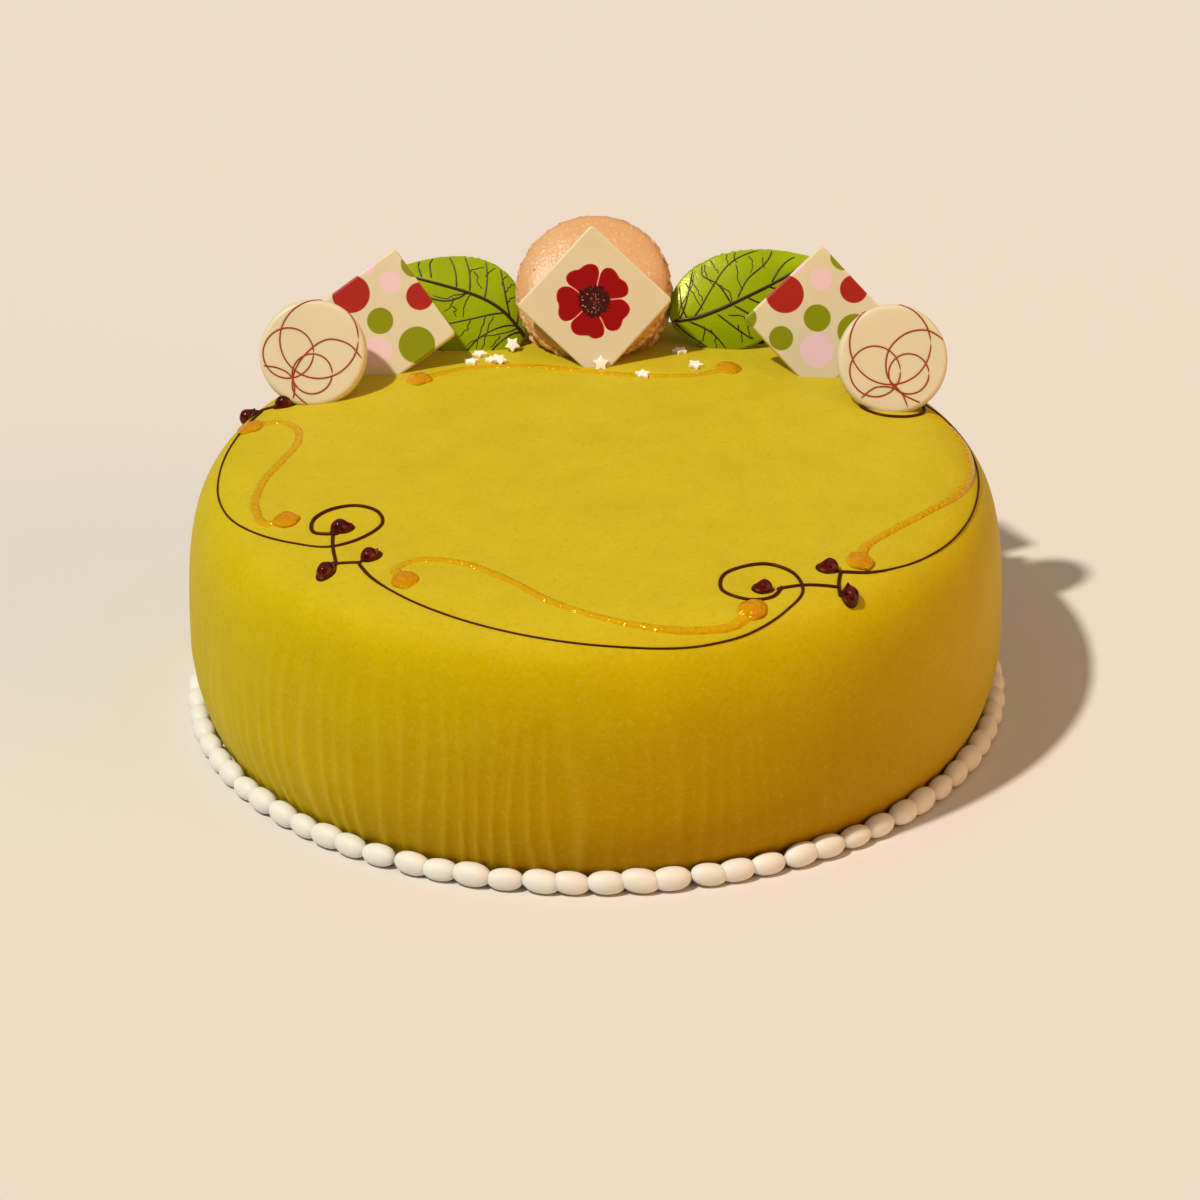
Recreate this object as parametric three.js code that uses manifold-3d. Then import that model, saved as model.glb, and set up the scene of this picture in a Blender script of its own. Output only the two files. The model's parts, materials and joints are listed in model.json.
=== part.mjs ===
// A princess cake: a marzipan-covered round with a pearl border, piped chocolate scrolls and gel
// strokes on its shoulder, and a row of toppings stood in the marzipan along the back.
// Millimetres, +Z up. The origin is the centre of the cake's base; the front looks along -Y.
import * as THREE from 'three';
import { mergeVertices } from 'three/addons/utils/BufferGeometryUtils.js';
import Module from 'manifold-3d';

const gap = 0.3;                    // clearance between pieces that touch

// The cake: side and shoulder are one superellipse, with a shallow dome on top.
const widestRadius = 107.5;
const widestHeight = 23;
const baseRadius = 101.5;
const shoulderHeight = 67.4;
const sideSquareness = 20;
const shoulderSquareness = 2.87;
const domeRise = 5;
const cakeSides = 48;

// The pearl border round the foot of the cake.
const pearlCount = 79;
const pearlRing = 106.3;
const pearl = {
  across: 5.7, tall: 5.8, uneven: 0.06, drift: 0.1, sides: 5,
  stations: [[0, 0.5], [0.3, 1], [0.7, 1]],  // [share of the pitch, fullness]
};

// Piped decoration.
const chocolate = { line: 1.1, sides: 4, scrollSteps: 28 };
const gel = { tube: 1.75, sunk: 1.05, blob: 3.8, sides: 5, steps: 14 };
const drop = { width: 4.6, height: 1.9 };
const jellyBead = 1.8;
const star = { points: 5, outer: 2.2, inner: 1.2, thickness: 1.2, sunk: 0.3 };

// Toppings.
const plaque = { thickness: 3, corner: 1.2, edge: 0.6 };
const disc = { thickness: 5, edge: 1.4, sides: 26 };
const macaron = { radius: 21.5, foot: 3, dome: 5.4, filling: 3.5, fillingRadius: 19.8, sides: 28 };
const leaf = {
  thickness: 1.3, bow: -1.5, cup: 2.8, wave: 0.3, stemTaper: 0.65, tipTaper: 0.97, rows: 10, columns: 6,
};

const colours = {
  marzipan: 0xc9b022, pearl: 0xf5eedc, biscuit: 0xd9a066, ganache: 0x2b140c, whiteChocolate: 0xf0dfb4,
  leaf: 0x84ad0c,
};

// One scroll for each fifth of the rim, drawn anticlockwise seen from above: it leaves `start`,
// swells out to `crest`, then curls inwards round `loop`. `reach` is how far the curl lies from the
// loop's middle at each quarter turn. After the curl comes a knot of two short strokes and three jelly
// drops, `knot` further out or less than 0 in. Strokes and drops are set out in the loop's own frame, along
// the rim and inwards, and a drop as [along, inwards, the way it points, length].
// Angles are in degrees, from +X or for a drop from the way along the rim, the rest in millimetres.
const scrolls = [
  { start: [157.7, 96], crest: [188, 98.4], swell: 1.2, loop: [211.4, 73.8],
    reach: [16.3, 9.9, 8.9, 8.3, 9.3, 4], knot: 3,
    drops: [[2.9, -3, 80, 7], [18.9, -16, 115, 7.8], [20.1, -4.3, 98, 7]] },
  { start: [225.7, 84.6], crest: [286, 100.2], swell: 1.5, loop: [299, 83.5],
    reach: [12.8, 9.8, 7.7, 10.2, 7.3, 5], knot: 0,
    drops: [[-0.9, -3.6, 148, 5.8], [18.9, -12.3, 73, 7.8], [19, -2, 140, 6.4]] },
  { start: [312.2, 90], crest: [365, 100.4], swell: 3.8, loop: [381.5, 86.5],
    reach: [10, 9, 9.5, 8.5, 8, 5], knot: 0,
    drops: [[1, -3, 100, 6.6], [18.9, -12.3, 90, 7.4], [19, -2, 120, 6.6]] },
  { start: [36, 88], crest: [48, 97], swell: 1.4, loop: [58.5, 93.5],
    reach: [6, 5.5, 5, 5, 5, 3], knot: -4,
    drops: [[0.8, 5.4, 150, 6], [18.9, -8.3, 90, 7.4], [19, 2, 120, 6.6]] },
  { start: [84, 88], crest: [112, 98], swell: 1.4, loop: [133, 88],
    reach: [10, 9.5, 9, 8.5, 8, 5], knot: 0,
    strokes: [[[2, -5], [16, -6], [33, 6.3]], [[33, 6.3], [37.2, 3], [40.5, -1.5]]],
    drops: [[1, -3, 100, 6.6], [34.8, 4.8, 145, 8.5], [41.6, -3, 120, 6.6]] },
];
const knotStrokes = [[[2, -5], [9, -6], [17, -9.5]], [[20.5, -5], [17.8, -9], [16.5, -12]]];

// Gel strokes as [angle, radius] stations, and whether each end swells into a blob.
const gelStrokes = [
  { route: [[165, 94.5], [163.5, 87.5], [165.5, 82], [172, 78.7], [180, 81.4], [189, 87.4], [198, 91.2],
    [203, 90.8], [204, 86]], blobs: [true, true] },
  { route: [[236, 84.5], [232.5, 81.5], [233, 76.5], [242.5, 71], [251, 73.7], [264, 84.6], [274, 92],
    [284, 96.5], [291, 96.6], [294.5, 93.5]], blobs: [true, true] },
  { route: [[317.5, 90], [321, 87], [328, 87], [337.5, 90.3], [348, 95.8], [360, 99], [369, 99.2],
    [375, 97], [378, 93.5]], blobs: [true, false] },
  { route: [[134.5, 67.2], [124, 65.2], [112, 59.8], [98, 53], [87, 49.2], [73, 49], [60, 55], [55, 64]],
    blobs: [true, true] },
];

// Sugar stars: those lying on the marzipan as [x, y, turn in degrees], then those stood up.
const stars = [[-31, 64.2, 40], [-33.2, 58.8, 65], [-27.3, 59.6, 20], [-25.6, 57.9, 50], [13.4, 46.6, 0],
  [23.7, 64.6, 30], [27.8, 53.6, 50]];
const leaningStars = [
  { at: [2.1, 53.5], lean: 25, rise: 1, turn: 0 },
  { at: [-22, 67.2], lean: 32, rise: 1.65, turn: 36 },
];

// Toppings: the middle of the front face, how far it leans back, and its turn about the vertical.
const flowerPlaque = { side: 30.1, at: [0.6, 60.6, 87.1], lean: 25, turn: 0, spin: -1.6 };
const dottedPlaques = {
  dotted_plaque_left: { side: 28.9, at: [-57.2, 59.8, 82.3], lean: 28, turn: -6, spin: 7 },
  dotted_plaque_right: { side: 29.2, at: [61.6, 55.7, 83.2], lean: 28, turn: 6, spin: 5 },
};
const discs = {
  disc_left: { radius: 14.5, at: [-75.3, 41.6, 81.6], lean: 30, turn: -4, spin: 0 },
  disc_right: { radius: 14.8, at: [80.1, 33.6, 81.5], lean: 30, turn: 4, spin: 0 },
};
const macaronPlace = { at: [0.5, 77.7, 82.5], lean: 45, turn: -6, spin: 0 };
// Leaves lean back like the plaques. `along` is the way the midrib points in the leaf's own plane.
const leaves = {
  leaf_left: { at: [-19.6, 70.2, 71], lean: 32, turn: 0, along: 150, length: 41, width: 28 },
  leaf_right: { at: [21.6, 72, 76.1], lean: 32, turn: 0, along: 23, length: 43.3, width: 26.8 },
};

const wasm = await Module();
wasm.setup();

let randomState = 7;
function random() {                 // the same small draws on every run, from 0 to 1
  randomState = (randomState * 16807) % 2147483647;
  return randomState / 2147483647;
}

// ---- solids ----

function toSolid(geometry) {
  const bare = geometry.clone();
  bare.deleteAttribute('normal');
  bare.deleteAttribute('uv');
  const merged = mergeVertices(bare, 1e-4);
  const corners = merged.index.array;
  const faces = [];
  for (let i = 0; i < corners.length; i += 3) {
    const [a, b, c] = [corners[i], corners[i + 1], corners[i + 2]];
    if (a !== b && b !== c && c !== a) faces.push(a, b, c);
  }
  const vertices = new Float32Array(merged.attributes.position.array);
  return new wasm.Manifold(new wasm.Mesh({
    numProp: 3, vertProperties: vertices, triVerts: new Uint32Array(faces),
  }));
}

function toGeometry(solid) {
  const made = solid.getMesh();
  const geometry = new THREE.BufferGeometry();
  geometry.setAttribute('position', new THREE.BufferAttribute(new Float32Array(made.vertProperties), 3));
  geometry.setIndex(new THREE.BufferAttribute(new Uint32Array(made.triVerts), 1));
  geometry.computeVertexNormals();
  return geometry;
}

function joined(solids) {
  return solids.reduce((whole, piece) => whole.add(piece));
}

// A solid of revolution about +Z from [radius, height] pairs, lowest first.
function turned(profile, sides) {
  const points = profile.map(([radius, height]) => new THREE.Vector2(radius, height));
  return new THREE.LatheGeometry(points, sides).rotateX(Math.PI / 2);
}

function tube(points, radius, sides, steps) {
  const section = new THREE.Shape();
  for (let i = 0; i < sides; i += 1) {
    const angle = (i / sides) * 2 * Math.PI;
    const corner = [radius * Math.cos(angle), radius * Math.sin(angle)];
    if (i === 0) section.moveTo(...corner);
    else section.lineTo(...corner);
  }
  const path = new THREE.CatmullRomCurve3(points);
  return new THREE.ExtrudeGeometry(section, { steps, bevelEnabled: false, extrudePath: path });
}

// ---- the cake ----

function topHeight(radius) {
  const reach = Math.min(1, radius / widestRadius);
  const shoulder = (1 - reach ** sideSquareness) ** (1 / shoulderSquareness);
  return widestHeight + (shoulderHeight - widestHeight) * shoulder + domeRise * (1 - reach ** 2);
}

function cakeProfile(grown, foot) {
  const profile = [[0, foot]];
  const sideRows = 2;
  for (let i = 0; i < sideRows; i += 1) {
    const rise = i / sideRows;
    const radius = baseRadius + (widestRadius - baseRadius) * (1 - (1 - rise) ** 2);
    profile.push([radius + grown, i === 0 ? foot : widestHeight * rise]);
  }
  const shoulderRows = 10;
  for (let i = 0; i < shoulderRows; i += 1) {
    const angle = (i / shoulderRows) * 0.5 * Math.PI;
    const radius = widestRadius * Math.cos(angle) ** (2 / sideSquareness);
    profile.push([radius + grown, topHeight(radius) + grown * Math.sin(angle)]);
  }
  for (const radius of [72, 38]) profile.push([radius, topHeight(radius) + grown]);
  profile.push([0, topHeight(0) + grown]);
  return profile;
}

function polar(angle, radius) {
  const turn = THREE.MathUtils.degToRad(angle);
  return new THREE.Vector2(radius * Math.cos(turn), radius * Math.sin(turn));
}

// A point on the marzipan over (x, y), lifted along the surface's own normal.
function onMarzipan(flat, lift) {
  const radius = flat.length();
  const slope = (topHeight(radius + 0.1) - topHeight(radius - 0.1)) / 0.2;
  const out = flat.clone().divideScalar(radius).multiplyScalar(-slope);
  const normal = new THREE.Vector3(out.x, out.y, 1).normalize();
  const point = new THREE.Vector3(flat.x, flat.y, topHeight(radius));
  return { point: point.addScaledVector(normal, lift), normal };
}

// A frame at a loop's middle: `along` the rim anticlockwise and `inward` towards the cake's axis.
function loopFrame(scroll) {
  const middle = polar(...scroll.loop);
  const inward = middle.clone().normalize().negate();
  const along = new THREE.Vector2(inward.y, -inward.x);
  return (x, y) => middle.clone().addScaledVector(along, x).addScaledVector(inward, y);
}

function scrollRoute(scroll) {
  const [startAngle, startRadius] = scroll.start;
  const [crestAngle, crestRadius] = scroll.crest;
  const route = [];
  const swells = 6;
  for (let i = 0; i <= swells; i += 1) {
    const share = (i / swells) ** 1.5;  // closer together where the line bends away from the knot
    const rise = 1 - (1 - share ** 0.8) ** scroll.swell;
    const angle = startAngle + (crestAngle - startAngle) * share;
    route.push(polar(angle, startRadius + (crestRadius - startRadius) * rise));
  }
  const [loopAngle, loopRadius] = scroll.loop;
  const fall = crestRadius - loopRadius - scroll.reach[0];
  const fallenHalfway = 0.22;         // share of the fall made halfway from the crest to the loop
  route.push(polar((crestAngle + loopAngle) / 2, crestRadius - fallenHalfway * fall));
  const at = loopFrame(scroll);
  const halfQuarters = 2 * (scroll.reach.length - 1) - 1;
  for (let i = 0; i <= halfQuarters; i += 1) {
    const quarter = i / 2;
    const reach = (scroll.reach[Math.floor(quarter)] + scroll.reach[Math.ceil(quarter)]) / 2;
    const turn = (quarter - 1) * 0.5 * Math.PI;
    route.push(at(reach * Math.cos(turn), reach * Math.sin(turn)));
  }
  return route;
}

// A tube laid along a flat route, `lift` above the marzipan all the way.
function pipedTube(route, lift, radius, sides, steps) {
  const spaced = new THREE.SplineCurve(route).getSpacedPoints(steps);
  return toSolid(tube(spaced.map((flat) => onMarzipan(flat, lift).point), radius, sides, steps));
}

function chocolateTube(route, steps) {
  return pipedTube(route, 0, chocolate.line / 2, chocolate.sides, steps);
}

// A flat-bottomed teardrop of chocolate with a jelly bead sunk in its head.
function jellyDrop(flat, heading, length) {
  const { point, normal } = onMarzipan(flat, 0);
  const body = new THREE.SphereGeometry(1, 6, 3);
  body.scale(drop.width / 2, length / 2, drop.height);
  const bead = new THREE.SphereGeometry(jellyBead, 6, 3).translate(0, 0, drop.height * 0.75);
  const seat = new THREE.Matrix4().makeRotationFromQuaternion(
    new THREE.Quaternion().setFromUnitVectors(new THREE.Vector3(0, 0, 1), normal));
  const turn = new THREE.Matrix4().makeRotationZ(heading - Math.PI / 2);
  const place = new THREE.Matrix4().makeTranslation(point.x, point.y, point.z);
  place.multiply(seat).multiply(turn);
  return [body, bead].map((geometry) => toSolid(geometry.applyMatrix4(place)));
}

// The knot between one scroll and the next: two short strokes and three jelly drops.
function scrollKnot(scroll) {
  const local = loopFrame(scroll);
  const outwards = (spots, from) => spots.map(([x, y], i) => [x, y - (i < from ? 0 : scroll.knot)]);
  const [stem, bar] = scroll.strokes ?? [outwards(knotStrokes[0], 1), outwards(knotStrokes[1], 0)];
  const rim = scroll.loop[0] + 90;
  return [
    chocolateTube(stem.map((spot) => local(...spot)), 4),
    chocolateTube(bar.map((spot) => local(...spot)), 2),
    ...scroll.drops.flatMap(([x, y, aim, length]) => (
      jellyDrop(local(x, y), THREE.MathUtils.degToRad(rim + aim), length))),
  ];
}

function gelSolids({ route, blobs }) {
  const flats = route.map(([angle, radius]) => polar(angle, radius));
  const solids = [pipedTube(flats, -gel.sunk, gel.tube, gel.sides, gel.steps)];
  const ends = [flats[0], flats[flats.length - 1]];
  ends.forEach((flat, i) => {
    if (!blobs[i]) return;
    const { point } = onMarzipan(flat, 0);
    const blob = new THREE.SphereGeometry(gel.blob, 7, 4).rotateX(Math.PI / 2).scale(1, 1, 0.5);
    solids.push(toSolid(blob.translate(point.x, point.y, point.z)));
  });
  return solids;
}

function starGeometry() {
  const outline = new THREE.Shape();
  for (let i = 0; i < 2 * star.points; i += 1) {
    const radius = i % 2 === 0 ? star.outer : star.inner;
    const angle = Math.PI / 2 + (i / star.points) * Math.PI;
    if (i === 0) outline.moveTo(radius * Math.cos(angle), radius * Math.sin(angle));
    else outline.lineTo(radius * Math.cos(angle), radius * Math.sin(angle));
  }
  return new THREE.ExtrudeGeometry(outline, { depth: star.thickness, bevelEnabled: false });
}

function starSolids() {
  const lying = stars.map(([x, y, turn]) => {
    const { point } = onMarzipan(new THREE.Vector2(x, y), -star.sunk);
    const flat = starGeometry().rotateZ(THREE.MathUtils.degToRad(turn));
    return toSolid(flat.translate(point.x, point.y, point.z));
  });
  const upright = leaningStars.map(({ at, lean, rise, turn }) => {
    const { point } = onMarzipan(new THREE.Vector2(...at), rise);
    const stood = starGeometry().rotateZ(THREE.MathUtils.degToRad(turn));
    stood.rotateX(THREE.MathUtils.degToRad(90 - lean));
    return toSolid(stood.translate(point.x, point.y, point.z));
  });
  return [...lying, ...upright];
}

function cakeSolid(toppingsGrown) {
  const decoration = [];
  for (const scroll of scrolls) {
    decoration.push(chocolateTube(scrollRoute(scroll), chocolate.scrollSteps), ...scrollKnot(scroll));
  }
  for (const stroke of gelStrokes) decoration.push(...gelSolids(stroke));
  decoration.push(...starSolids());
  const piped = joined(decoration).subtract(joined(toppingsGrown));
  return toSolid(turned(cakeProfile(0, 0), cakeSides)).add(piped);
}

// The border is one beaded ring: each pearl is a neck and two full sections, and every section
// stands on the ground with a corner downwards.
function pearlBorder() {
  const stations = [];
  for (let i = 0; i < pearlCount; i += 1) {
    const grown = 1 + pearl.uneven * (2 * random() - 1);
    const drift = pearl.drift * (2 * random() - 1);
    for (const [share, fullness] of pearl.stations) {
      stations.push({ angle: ((i + drift + share) / pearlCount) * 2 * Math.PI, size: grown * fullness });
    }
  }
  const corner = ({ angle, size }, side) => {
    const around = ((side % pearl.sides) / pearl.sides - 0.25) * 2 * Math.PI;
    const radius = pearlRing + 0.5 * pearl.across * size * Math.cos(around);
    const height = 0.5 * pearl.tall * size * (1 + Math.sin(around));
    return [radius * Math.cos(angle), radius * Math.sin(angle), height];
  };
  const positions = [];
  stations.forEach((station, i) => {
    const next = stations[(i + 1) % stations.length];
    for (let side = 0; side < pearl.sides; side += 1) {
      const square = [corner(station, side), corner(next, side), corner(next, side + 1),
        corner(station, side + 1)];
      positions.push(...square[0], ...square[1], ...square[2], ...square[0], ...square[2], ...square[3]);
    }
  });
  const geometry = new THREE.BufferGeometry();
  geometry.setAttribute('position', new THREE.Float32BufferAttribute(positions, 3));
  return toSolid(geometry);
}

// ---- toppings, each modelled with its front face towards -Y and its middle at the origin ----

function plaqueGeometry(side, grown) {
  const half = side / 2 + grown;
  const { corner, edge } = plaque;
  const outline = new THREE.Shape();
  outline.moveTo(half - corner, -half);
  outline.absarc(half - corner, -half + corner, corner, -Math.PI / 2, 0);
  outline.absarc(half - corner, half - corner, corner, 0, Math.PI / 2);
  outline.absarc(-half + corner, half - corner, corner, Math.PI / 2, Math.PI);
  outline.absarc(-half + corner, -half + corner, corner, Math.PI, 1.5 * Math.PI);
  const thickness = plaque.thickness + 2 * grown;
  const slab = new THREE.ExtrudeGeometry(outline, {
    depth: thickness - 2 * edge, bevelThickness: edge, bevelSize: edge, bevelOffset: -edge,
    bevelSegments: 1, curveSegments: 3,
  });
  slab.rotateZ(Math.PI / 4);        // it stands on one corner
  return slab.translate(0, 0, edge - thickness + grown).rotateX(Math.PI / 2);
}

function discGeometry(radius, grown) {
  const { edge, sides } = disc;
  const rim = radius + grown;
  const back = -disc.thickness - grown;
  const profile = [[0, back], [rim - edge, back], [rim - 0.3 * edge, back + 0.5 * edge],
    [rim, back + 1.3 * edge], [rim, grown - 1.3 * edge], [rim - 0.3 * edge, grown - 0.5 * edge],
    [rim - edge, grown], [0, grown]];
  return turned(profile, sides).rotateX(Math.PI / 2);
}

// A macaron shell from its flat inner side: the ruffled foot, a small step in, then the dome.
function shellProfile(grown) {
  const { radius, foot, dome } = macaron;
  return [[0, 0], [radius - 1.2 + grown, 0], [radius + grown, 0.35 * foot], [radius + grown, 0.75 * foot],
    [radius - 0.7 + grown, foot], [radius - 1.1 + grown, foot + 0.22 * dome],
    [0.86 * radius + grown, foot + 0.62 * dome + grown], [0.6 * radius, foot + 0.9 * dome + grown],
    [0, foot + dome + grown]];
}

function macaronGeometries(grown) {
  const half = macaron.filling / 2;
  const shell = turned(shellProfile(grown), macaron.sides).translate(0, 0, half + (grown > 0 ? 0 : gap));
  const front = shell.clone().rotateX(Math.PI / 2);
  const back = shell.clone().rotateX(-Math.PI / 2);
  const width = macaron.fillingRadius + grown;
  const filling = turned([[0, -half], [width, -half], [width, half], [0, half]], macaron.sides);
  return { front, back, filling: filling.rotateX(Math.PI / 2) };
}

// A cupped, softly waved leaf as a closed sheet: both faces and the rim share one grid.
function leafGeometry({ length, width }) {
  const { thickness, rows, columns } = leaf;
  const corner = (row, column, side) => {
    const u = row / rows;
    const v = (2 * column) / columns - 1;
    const inset = 0.01 + 0.975 * u;  // the blade ends just short of its two points
    const full = (inset / 0.4) ** leaf.stemTaper * ((1 - inset) / 0.6) ** leaf.tipTaper;
    const half = 0.5 * width * full;
    const bow = leaf.bow * Math.sin(Math.PI * u);
    const cup = leaf.cup * full * (1 - v * v) + leaf.wave * Math.sin(9 * u + 2 * v);
    return [length * u, half * v + bow, side * 0.5 * thickness + cup];
  };
  const positions = [];
  const square = (a, b, c, d) => positions.push(...a, ...b, ...c, ...a, ...c, ...d);
  for (let row = 0; row < rows; row += 1) {
    for (let column = 0; column < columns; column += 1) {
      const cell = (side) => [corner(row, column, side), corner(row + 1, column, side),
        corner(row + 1, column + 1, side), corner(row, column + 1, side)];
      square(...cell(1));
      const [a, b, c, d] = cell(-1);
      positions.push(...a, ...c, ...b, ...a, ...d, ...c);
    }
    for (const [column, flip] of [[0, false], [columns, true]]) {
      const wall = [corner(row, column, -1), corner(row + 1, column, -1), corner(row + 1, column, 1),
        corner(row, column, 1)];
      square(...(flip ? wall.reverse() : wall));
    }
  }
  for (let column = 0; column < columns; column += 1) {
    for (const [row, flip] of [[0, true], [rows, false]]) {
      const wall = [corner(row, column, -1), corner(row, column + 1, -1), corner(row, column + 1, 1),
        corner(row, column, 1)];
      square(...(flip ? wall.reverse() : wall));
    }
  }
  const geometry = new THREE.BufferGeometry();
  geometry.setAttribute('position', new THREE.Float32BufferAttribute(positions, 3));
  return geometry.rotateX(Math.PI / 2);
}

// ---- placing ----

function placement({ at, lean, turn, spin }) {
  const holder = new THREE.Object3D();
  holder.position.set(...at);
  const angles = [-lean, spin, turn].map(THREE.MathUtils.degToRad);
  holder.rotation.set(...angles, 'ZXY');
  holder.updateMatrix();
  return holder;
}

function paint(color, roughness) {
  return new THREE.MeshStandardMaterial({ color, roughness, metalness: 0 });
}

// A topping as a mesh at its place, its foot cut off at the marzipan and any other `cutters`.
function standing(name, geometry, place, material, cutters) {
  const holder = placement(place);
  const back = holder.matrix.clone().invert();
  const cut = cutters.reduce(
    (solid, cutter) => solid.subtract(toSolid(toGeometry(cutter).applyMatrix4(back))), toSolid(geometry));
  const mesh = new THREE.Mesh(toGeometry(cut), material);
  mesh.position.copy(holder.position);
  mesh.rotation.copy(holder.rotation);
  mesh.name = name;
  return mesh;
}

function placedSolid(geometry, place) {
  return toSolid(geometry.clone().applyMatrix4(placement(place).matrix));
}

function fixed(name, solid, material) {
  const mesh = new THREE.Mesh(toGeometry(solid), material);
  mesh.name = name;
  return mesh;
}

const cake = new THREE.Group();

const marzipanGrown = toSolid(turned(cakeProfile(gap, -1), cakeSides));
const macaronGrown = joined(Object.values(macaronGeometries(gap)).map((g) => placedSolid(g, macaronPlace)));
const toppingsGrown = [
  macaronGrown,
  placedSolid(plaqueGeometry(flowerPlaque.side, gap), flowerPlaque),
  ...Object.values(dottedPlaques).map((place) => placedSolid(plaqueGeometry(place.side, gap), place)),
  ...Object.values(discs).map((place) => placedSolid(discGeometry(place.radius, gap), place)),
];

cake.add(fixed('cake', cakeSolid(toppingsGrown), paint(colours.marzipan, 0.6)));
cake.add(fixed('pearl_border', pearlBorder(), paint(colours.pearl, 0.5)));

const biscuit = paint(colours.biscuit, 0.7);
const ganache = paint(colours.ganache, 0.4);
const shells = macaronGeometries(0);
for (const [name, geometry, material] of [['macaron_front_shell', shells.front, biscuit],
  ['macaron_filling', shells.filling, ganache], ['macaron_back_shell', shells.back, biscuit]]) {
  cake.add(standing(name, geometry, macaronPlace, material, [marzipanGrown]));
}

const slabChocolate = paint(colours.whiteChocolate, 0.35);
cake.add(standing('flower_plaque', plaqueGeometry(flowerPlaque.side, 0), flowerPlaque, slabChocolate,
  [marzipanGrown, macaronGrown]));
for (const [name, place] of Object.entries(dottedPlaques)) {
  cake.add(standing(name, plaqueGeometry(place.side, 0), place, slabChocolate, [marzipanGrown]));
}
for (const [name, place] of Object.entries(discs)) {
  cake.add(standing(name, discGeometry(place.radius, 0), place, slabChocolate, [marzipanGrown]));
}
for (const [name, place] of Object.entries(leaves)) {
  const geometry = leafGeometry(place);
  const spun = { ...place, spin: -place.along };
  cake.add(standing(name, geometry, spun, paint(colours.leaf, 0.4), [marzipanGrown, macaronGrown]));
}

export default cake;
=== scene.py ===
# A princess cake: yellow marzipan over a domed round, with a pearl border, piped chocolate scrolls,
# gel strokes, and a row of chocolate plaques, leaves and a macaron stood along the back.
# Pieces are modelled in millimetres in the cake's own frame and scaled to metres as they are finished.
import json
import math
import random

import bmesh
import bpy
from mathutils import Matrix, Vector, noise
from mathutils.bvhtree import BVHTree

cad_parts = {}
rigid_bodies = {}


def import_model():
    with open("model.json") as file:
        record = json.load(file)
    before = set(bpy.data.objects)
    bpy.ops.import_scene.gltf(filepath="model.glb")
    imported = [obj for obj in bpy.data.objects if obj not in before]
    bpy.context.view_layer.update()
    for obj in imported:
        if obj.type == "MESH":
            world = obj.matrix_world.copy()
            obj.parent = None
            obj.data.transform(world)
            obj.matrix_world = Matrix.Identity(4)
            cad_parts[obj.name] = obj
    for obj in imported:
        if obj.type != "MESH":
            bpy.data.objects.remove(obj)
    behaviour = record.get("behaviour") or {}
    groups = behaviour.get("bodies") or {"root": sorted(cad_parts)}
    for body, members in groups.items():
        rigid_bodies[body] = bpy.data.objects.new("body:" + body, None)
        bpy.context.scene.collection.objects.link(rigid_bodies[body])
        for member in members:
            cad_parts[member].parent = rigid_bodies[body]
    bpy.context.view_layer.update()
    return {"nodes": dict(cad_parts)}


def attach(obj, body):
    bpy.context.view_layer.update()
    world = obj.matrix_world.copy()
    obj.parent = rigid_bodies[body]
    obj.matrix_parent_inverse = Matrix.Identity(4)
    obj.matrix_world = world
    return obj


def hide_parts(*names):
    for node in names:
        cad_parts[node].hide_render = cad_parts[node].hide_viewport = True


for leftover in list(bpy.data.objects):  # the start-up cube, lamp and camera
    bpy.data.objects.remove(leftover)
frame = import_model()
mm = 0.001
pick = random.Random(11)
print("frame loaded:", len(frame["nodes"]), "nodes")


# small tools

def linearColour(code):
    channels = [int(code[i:i + 2], 16) / 255 for i in (1, 3, 5)]
    return [c / 12.92 if c <= 0.04045 else ((c + 0.055) / 1.055) ** 2.4 for c in channels] + [1.0]


def addNode(tree, kind, inputs, **settings):  # an input is a value, a colour code, or a node to link from
    node = tree.nodes.new("ShaderNode" + kind)
    for key, value in settings.items():
        setattr(node, key, value)
    for key, value in inputs.items():
        if isinstance(value, bpy.types.Node):
            value = next(socket for socket in value.outputs if socket.enabled)
        if isinstance(value, bpy.types.NodeSocket):
            tree.links.new(value, node.inputs[key])
        else:
            node.inputs[key].default_value = linearColour(value) if isinstance(value, str) else value
    return node


def addNoise(tree, coords, size, detail=2.0, roughness=0.5):  # features about this many mm apart
    return addNode(tree, "TexNoise", {"Vector": coords, "Scale": 1 / (size * mm), "Detail": detail,
                                      "Roughness": roughness})


def blend(tree, share, low, high):
    return addNode(tree, "Mix", {0: share, 6: low, 7: high}, data_type="RGBA")


def fade(tree, value, start, end, most=1.0):  # 0 at start and most at end
    return addNode(tree, "MapRange", {"Value": value, "From Min": start, "From Max": end, "To Max": most})


def maths(tree, operation, *values, kind="Math"):
    return addNode(tree, kind, dict(enumerate(values)), operation=operation)


def axes(tree, vector):
    return addNode(tree, "SeparateXYZ", {0: vector}).outputs


def attribute(tree, name):
    return addNode(tree, "Attribute", {}, attribute_name=name).outputs["Fac"]


def newMaterial(name, roughness, gloss, ior=1.46, tint="#ffffff", glow=None):
    # glow is the light that sinks in: its share, its reach in mm, and how far each colour goes
    material = bpy.data.materials.new(name)
    material.use_nodes = True
    tree = material.node_tree
    look = {"Roughness": roughness, "Specular IOR Level": gloss, "IOR": ior}
    look["Specular Tint"] = linearColour(tint)
    if glow:
        share, reach, radius = glow
        look.update({"Subsurface Weight": share, "Subsurface Scale": reach * mm, "Subsurface Radius": radius})
    for key, value in look.items():
        tree.nodes["Principled BSDF"].inputs[key].default_value = value
    return material, tree, tree.nodes.new("ShaderNodeTexCoord").outputs["Object"]


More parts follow.
